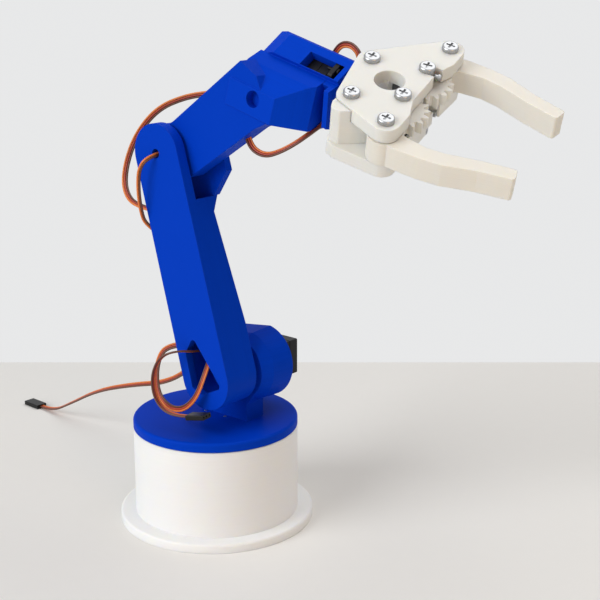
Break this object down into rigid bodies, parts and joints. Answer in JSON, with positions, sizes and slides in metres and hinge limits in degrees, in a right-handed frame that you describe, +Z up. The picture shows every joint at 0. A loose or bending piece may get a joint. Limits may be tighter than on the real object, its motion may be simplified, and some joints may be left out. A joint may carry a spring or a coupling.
{
  "type": "robot arm",
  "caption": "Desktop servo robot arm, 3-D printed: turning round base, leaning upper arm, forearm, rolling and pitching wrist and a gripper with geared curved fingers.",
  "frame": {"origin": "centre of the round base on the table, on the waist axis", "axes": "+X along the reach towards the gripper, +Y towards the side away from the viewer, +Z up"},
  "size_m": [0.3988, 0.1124, 0.2654],
  "materials": {
    "base_white": "printed",
    "arm_blue": "printed",
    "gripper_ivory": "printed",
    "finger_ivory": "printed",
    "gear_ivory": "printed",
    "servo_black": "moulded",
    "horn_white": "moulded",
    "shaft_brass": "turned",
    "screw_steel": "plated",
    "lead_brown": "satin",
    "plug_black": "moulded"
  },
  "bodies": {
    "base": {"base_housing": "base_white", "base_cover": "base_white", "waist_servo_case": "servo_black", "waist_servo_screws": "screw_steel"},
    "waist": {"waist_bracket": "arm_blue", "waist_servo_shaft": "shaft_brass", "waist_servo_horn": "horn_white", "waist_horn_screws": "screw_steel", "shoulder_servo_case": "servo_black", "shoulder_servo_screws": "screw_steel", "shoulder_lead": "lead_brown", "shoulder_plug": "plug_black"},
    "upper_arm": {"upper_arm": "arm_blue", "shoulder_servo_shaft": "shaft_brass", "shoulder_servo_horn": "horn_white", "shoulder_horn_screws": "screw_steel", "elbow_servo_case": "servo_black", "elbow_servo_screws": "screw_steel", "elbow_lead": "lead_brown", "elbow_hole_lead": "lead_brown", "foot_lead": "lead_brown", "foot_plug_lead": "lead_brown", "foot_plug": "plug_black"},
    "forearm": {"forearm": "arm_blue", "elbow_servo_shaft": "shaft_brass", "elbow_servo_horn": "horn_white", "roll_servo_case": "servo_black", "roll_servo_screws": "screw_steel", "wrist_lead": "lead_brown", "wrist_top_lead": "lead_brown"},
    "wrist": {"wrist_link": "arm_blue", "roll_servo_shaft": "shaft_brass", "roll_servo_horn": "horn_white", "pitch_servo_case": "servo_black", "pitch_servo_screws": "screw_steel"},
    "gripper": {"gripper_top_plate": "gripper_ivory", "gripper_lower_plate": "gripper_ivory", "pitch_servo_shaft": "shaft_brass", "pitch_servo_horn": "horn_white", "gripper_servo_case": "servo_black", "gripper_servo_screws": "screw_steel", "finger_bolts": "screw_steel", "idle_bolt": "screw_steel", "plate_screws": "screw_steel", "bolt_collars": "screw_steel", "collar_screws": "screw_steel", "knurled_nut": "screw_steel"},
    "drive": {"drive_gear": "gear_ivory", "gripper_servo_shaft": "shaft_brass", "drive_gear_screw": "screw_steel"},
    "idle": {"idle_gear": "gear_ivory"},
    "near_finger": {"near_finger": "finger_ivory"},
    "far_finger": {"far_finger": "finger_ivory"}
  },
  "joints": [
    {"name": "waist_turn", "type": "hinge", "parent": "base", "child": "waist", "pos_m": [0, 0, 0.053], "axis": [0, 0, 1], "range_deg": [-90, 90]},
    {"name": "shoulder_lift", "type": "hinge", "parent": "waist", "child": "upper_arm", "pos_m": [0.016, 0, 0.0875], "axis": [0, 1, 0], "range_deg": [-30, 60]},
    {"name": "elbow_lift", "type": "hinge", "parent": "upper_arm", "child": "forearm", "pos_m": [-0.01607, 0, 0.20314], "axis": [0, -1, 0], "range_deg": [-35, 70]},
    {"name": "wrist_roll", "type": "hinge", "parent": "forearm", "child": "wrist", "pos_m": [0.06999, 0.0128, 0.24412], "axis": [0.9613, 0, -0.2756], "range_deg": [-110, 65]},
    {"name": "wrist_pitch", "type": "hinge", "parent": "wrist", "child": "gripper", "pos_m": [0.09595, 0.0128, 0.23668], "axis": [-0.0895, 0.9014, 0.4237], "range_deg": [-10, 28]},
    {"name": "grip_drive", "type": "hinge", "parent": "gripper", "child": "drive", "pos_m": [0.11776, 0.00371, 0.23176], "axis": [0.3611, -0.3671, 0.8572], "range_deg": [-12.94, 11.65]},
    {"name": "idle_turn", "type": "hinge", "parent": "gripper", "child": "idle", "pos_m": [0.11557, 0.02576, 0.24212], "axis": [0.3611, -0.3671, 0.8572], "range_deg": [-11.66, 12.95]},
    {"name": "near_finger_turn", "type": "hinge", "parent": "gripper", "child": "near_finger", "pos_m": [0.12141, -0.0139, 0.22268], "axis": [0.3611, -0.3671, 0.8572], "range_deg": [-18.01, 20.01]},
    {"name": "far_finger_turn", "type": "hinge", "parent": "gripper", "child": "far_finger", "pos_m": [0.11564, 0.04428, 0.25003], "axis": [0.3611, -0.3671, 0.8572], "range_deg": [-20.01, 18.01]}
  ],
  "couplings": [
    {"joint": "idle_turn", "follows": "grip_drive", "ratio": -1},
    {"joint": "near_finger_turn", "follows": "grip_drive", "ratio": -1.5455},
    {"joint": "far_finger_turn", "follows": "grip_drive", "ratio": 1.5455}
  ]
}
